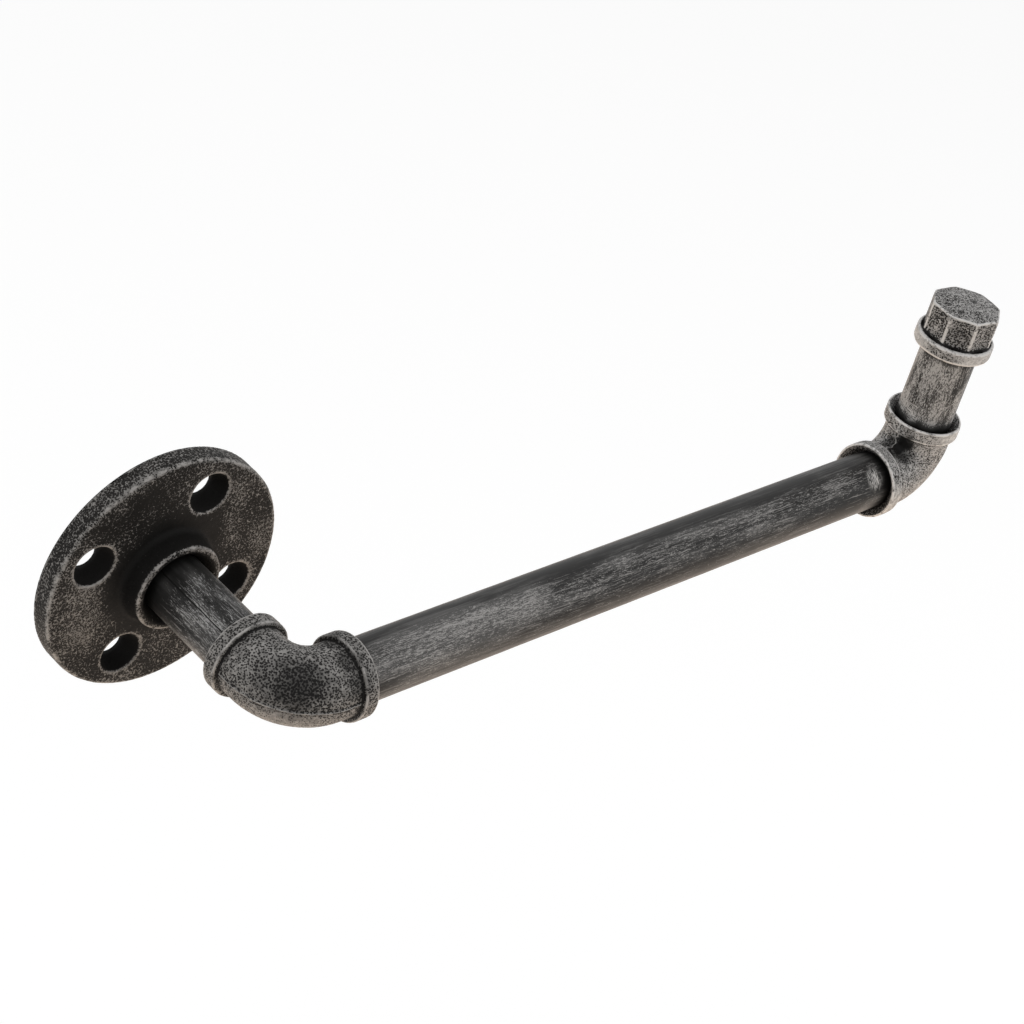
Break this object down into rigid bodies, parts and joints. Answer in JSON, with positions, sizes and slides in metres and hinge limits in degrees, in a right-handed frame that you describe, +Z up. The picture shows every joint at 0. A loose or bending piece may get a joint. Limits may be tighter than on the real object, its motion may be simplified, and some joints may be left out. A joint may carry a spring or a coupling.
{
  "type": "toilet paper holder",
  "caption": "Wall-mounted toilet paper holder of threaded iron pipe: round screw flange, standoff, elbow, long roll arm and an upturned end closed by an octagonal cap.",
  "frame": {"origin": "centre of the flange's back face, on the wall plane", "axes": "+Y points into the wall, the arm runs along +X, +Z is up along the riser"},
  "size_m": [0.3544, 0.0874, 0.1167],
  "materials": {
    "cast_iron": "sand cast, blackened, with silver rubbed over edges and high spots",
    "pipe_steel": "blackened pipe with silver rubbed along its length"
  },
  "bodies": {
    "flange": {"wall_flange": "cast_iron"},
    "standoff": {"standoff_pipe": "pipe_steel"},
    "rear_elbow": {"rear_elbow": "cast_iron"},
    "arm": {"arm_pipe": "pipe_steel"},
    "front_elbow": {"front_elbow": "cast_iron"},
    "riser": {"riser_pipe": "pipe_steel"},
    "cap": {"end_cap": "cast_iron"}
  },
  "joints": [
    {"name": "standoff_thread", "type": "hinge", "parent": "flange", "child": "standoff", "pos_m": [0, 0, 0], "axis": [0, -1, 0], "range_deg": [0, 240]},
    {"name": "rear_elbow_thread", "type": "hinge", "parent": "standoff", "child": "rear_elbow", "pos_m": [0, -0.07275, 0], "axis": [0, -1, 0], "range_deg": [0, 240]},
    {"name": "arm_thread", "type": "hinge", "parent": "rear_elbow", "child": "arm", "pos_m": [0, -0.07275, 0], "axis": [1, 0, 0], "range_deg": [0, 240]},
    {"name": "front_elbow_thread", "type": "hinge", "parent": "arm", "child": "front_elbow", "pos_m": [0.2963, -0.07275, 0], "axis": [1, 0, 0], "range_deg": [0, 240]},
    {"name": "riser_thread", "type": "hinge", "parent": "front_elbow", "child": "riser", "pos_m": [0.2963, -0.07275, 0], "axis": [0, 0, 1], "range_deg": [0, 240]},
    {"name": "cap_thread", "type": "hinge", "parent": "riser", "child": "cap", "pos_m": [0.2963, -0.07275, 0.065], "axis": [0, 0, 1], "range_deg": [0, 240]}
  ]
}
